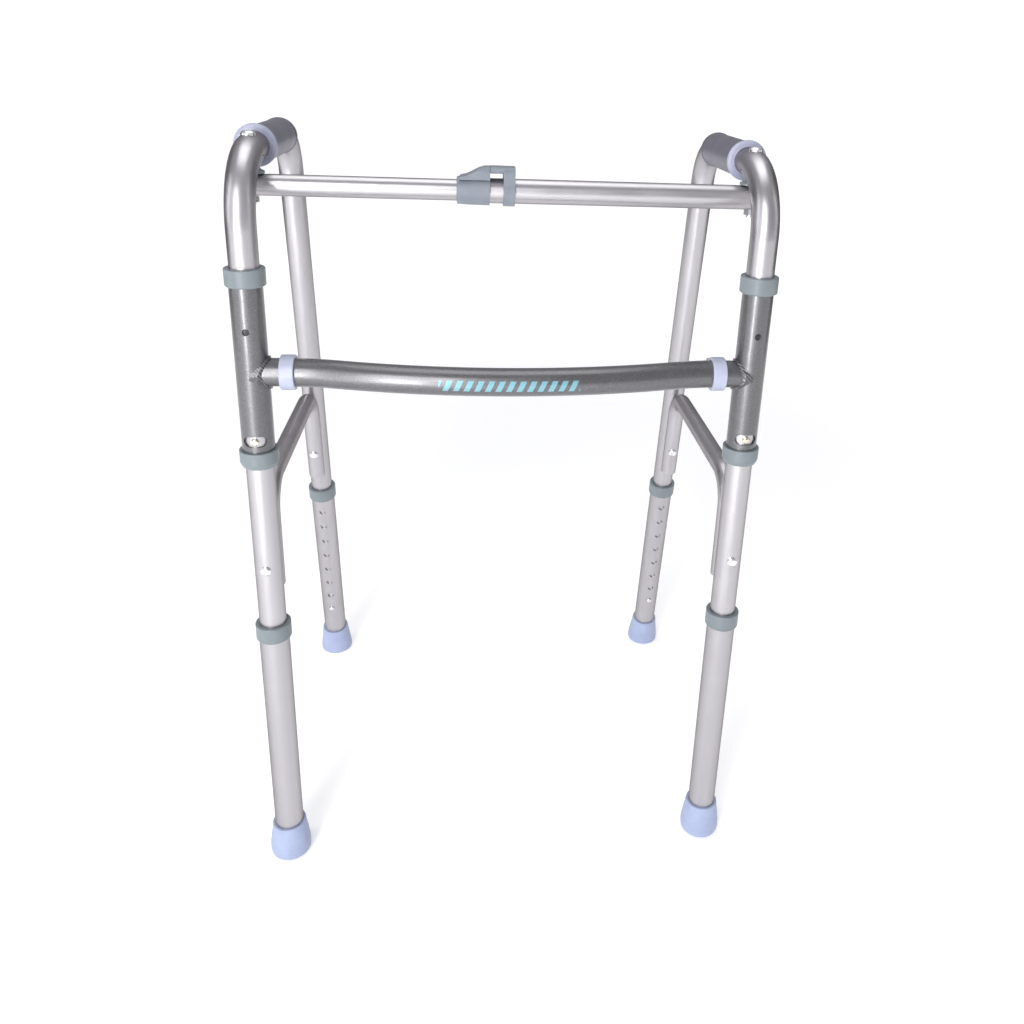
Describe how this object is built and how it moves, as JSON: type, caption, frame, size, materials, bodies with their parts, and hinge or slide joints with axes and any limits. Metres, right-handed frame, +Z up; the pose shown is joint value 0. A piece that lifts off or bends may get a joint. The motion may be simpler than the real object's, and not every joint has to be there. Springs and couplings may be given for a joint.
{
  "type": "folding walking frame",
  "caption": "Aluminium walking frame with swinging side frames, a bowed front bar, a telescoping top bar, hand grips and height-adjustable legs.",
  "frame": {"origin": "centre of the overall bounding box at floor level", "axes": "+X to the frame's right as seen from in front, +Y toward the user, +Z up"},
  "size_m": [0.4916, 0.4197, 0.75],
  "materials": {
    "anodised_aluminium": "satin anodised",
    "lower_leg_aluminium": "satin anodised",
    "dark_gunmetal": "dark metallic gloss",
    "weld_bead": "dark metallic gloss over a weld",
    "collar_plastic": "satin moulded",
    "latch_plastic": "satin moulded",
    "clamp_plastic": "satin moulded",
    "grip_rubber": "matte",
    "flange_plastic": "satin",
    "foot_rubber": "matte",
    "zinc_steel": "bright zinc",
    "button_brass": "polished",
    "button_steel": "polished",
    "rivet_aluminium": "polished",
    "bearing_nylon": "plain"
  },
  "bodies": {
    "front_unit": {"bow_bar": "dark_gunmetal", "left_sleeve": "dark_gunmetal", "left_weld": "weld_bead", "left_upper_collar": "collar_plastic", "left_lower_collar": "collar_plastic", "left_clamp": "clamp_plastic", "left_clamp_screw": "zinc_steel", "left_clamp_nut": "zinc_steel", "right_sleeve": "dark_gunmetal", "right_weld": "weld_bead", "right_upper_collar": "collar_plastic", "right_lower_collar": "collar_plastic", "right_clamp": "clamp_plastic", "right_clamp_screw": "zinc_steel", "right_clamp_nut": "zinc_steel"},
    "left_side_frame": {"left_frame_tube": "anodised_aluminium", "left_brace": "anodised_aluminium", "left_front_rivet": "rivet_aluminium", "left_rear_rivet": "rivet_aluminium", "left_grip": "grip_rubber", "left_grip_flange": "flange_plastic", "left_saddle": "collar_plastic", "left_pivot_bolt": "zinc_steel", "left_pivot_nut": "zinc_steel"},
    "left_front_lower_leg": {"left_front_leg": "lower_leg_aluminium", "left_front_leg_collar": "collar_plastic", "left_front_foot": "foot_rubber"},
    "left_front_snap": {"left_front_leg_button": "button_steel"},
    "left_rear_lower_leg": {"left_rear_leg": "lower_leg_aluminium", "left_rear_leg_collar": "collar_plastic", "left_rear_foot": "foot_rubber"},
    "left_rear_snap": {"left_rear_leg_button": "button_steel"},
    "left_swing_snap": {"left_swing_button": "button_brass"},
    "right_side_frame": {"right_frame_tube": "anodised_aluminium", "right_brace": "anodised_aluminium", "right_front_rivet": "rivet_aluminium", "right_rear_rivet": "rivet_aluminium", "right_grip": "grip_rubber", "right_grip_flange": "flange_plastic", "right_saddle": "collar_plastic", "right_pivot_bolt": "zinc_steel"},
    "right_front_lower_leg": {"right_front_leg": "lower_leg_aluminium", "right_front_leg_collar": "collar_plastic", "right_front_foot": "foot_rubber"},
    "right_front_snap": {"right_front_leg_button": "button_steel"},
    "right_rear_lower_leg": {"right_rear_leg": "lower_leg_aluminium", "right_rear_leg_collar": "collar_plastic", "right_rear_foot": "foot_rubber"},
    "right_rear_snap": {"right_rear_leg_button": "button_steel"},
    "right_swing_snap": {"right_swing_button": "button_brass"},
    "bar_thin_half": {"bar_small_tube": "anodised_aluminium", "bar_left_plug": "collar_plastic", "bar_bush": "bearing_nylon"},
    "bar_thick_half": {"bar_big_tube": "anodised_aluminium", "bar_right_plug": "collar_plastic", "right_pivot_stud": "zinc_steel", "right_pivot_nut": "zinc_steel", "latch_sleeve": "latch_plastic", "bar_liner": "bearing_nylon"},
    "bar_latch": {"latch_press": "latch_plastic"}
  },
  "joints": [
    {"name": "left_swing", "type": "hinge", "parent": "front_unit", "child": "left_side_frame", "pos_m": [-0.225, -0.1725, 0.545], "axis": [0, 0, -1], "range_deg": [0, 45], "deforming": ["left_swing_button"]},
    {"name": "right_swing", "type": "hinge", "parent": "front_unit", "child": "right_side_frame", "pos_m": [0.225, -0.1725, 0.545], "axis": [0, 0, 1], "range_deg": [0, 67.6], "deforming": ["right_swing_button"]},
    {"name": "bar_turn", "type": "hinge", "parent": "left_side_frame", "child": "bar_thin_half", "pos_m": [-0.225, -0.1215, 0.7], "axis": [0, 0, 1], "range_deg": [0, 43]},
    {"name": "bar_slide", "type": "slide", "parent": "bar_thin_half", "child": "bar_thick_half", "axis": [1, 0, 0], "range_m": [-0.0875, 0]},
    {"name": "left_front_height", "type": "slide", "parent": "left_side_frame", "child": "left_front_lower_leg", "axis": [0, 0, -1], "range_m": [0, 0.1687], "deforming": ["left_front_leg_button"]},
    {"name": "left_front_button_press", "type": "slide", "parent": "left_side_frame", "child": "left_front_snap", "axis": [0, -1, 0], "range_m": [0, 0.0036], "stiffness_N_per_m": 600},
    {"name": "left_rear_height", "type": "slide", "parent": "left_side_frame", "child": "left_rear_lower_leg", "axis": [0, 0.1803, -0.9836], "range_m": [0, 0.1687], "deforming": ["left_rear_leg_button"]},
    {"name": "left_rear_button_press", "type": "slide", "parent": "left_side_frame", "child": "left_rear_snap", "axis": [0, 0.9836, 0.1803], "range_m": [0, 0.0036], "stiffness_N_per_m": 600},
    {"name": "left_swing_button_press", "type": "slide", "parent": "left_side_frame", "child": "left_swing_snap", "axis": [0, 1, 0], "range_m": [0, 0.003], "stiffness_N_per_m": 600},
    {"name": "right_front_height", "type": "slide", "parent": "right_side_frame", "child": "right_front_lower_leg", "axis": [0, 0, -1], "range_m": [0, 0.1687], "deforming": ["right_front_leg_button"]},
    {"name": "right_front_button_press", "type": "slide", "parent": "right_side_frame", "child": "right_front_snap", "axis": [0, -1, 0], "range_m": [0, 0.0036], "stiffness_N_per_m": 600},
    {"name": "right_rear_height", "type": "slide", "parent": "right_side_frame", "child": "right_rear_lower_leg", "axis": [0, 0.1803, -0.9836], "range_m": [0, 0.1687], "deforming": ["right_rear_leg_button"]},
    {"name": "right_rear_button_press", "type": "slide", "parent": "right_side_frame", "child": "right_rear_snap", "axis": [0, 0.9836, 0.1803], "range_m": [0, 0.0036], "stiffness_N_per_m": 600},
    {"name": "right_swing_button_press", "type": "slide", "parent": "right_side_frame", "child": "right_swing_snap", "axis": [0, 1, 0], "range_m": [0, 0.003], "stiffness_N_per_m": 600},
    {"name": "latch_press_down", "type": "slide", "parent": "bar_thick_half", "child": "bar_latch", "axis": [0, 0, -1], "range_m": [0, 0.0046], "stiffness_N_per_m": 700}
  ],
  "couplings": [
    {"joint": "right_swing", "follows": "left_swing", "ratio": 1.5},
    {"joint": "bar_turn", "follows": "left_swing", "ratio": 0.952},
    {"joint": "bar_slide", "follows": "left_swing", "m_per_rad": -0.111}
  ]
}
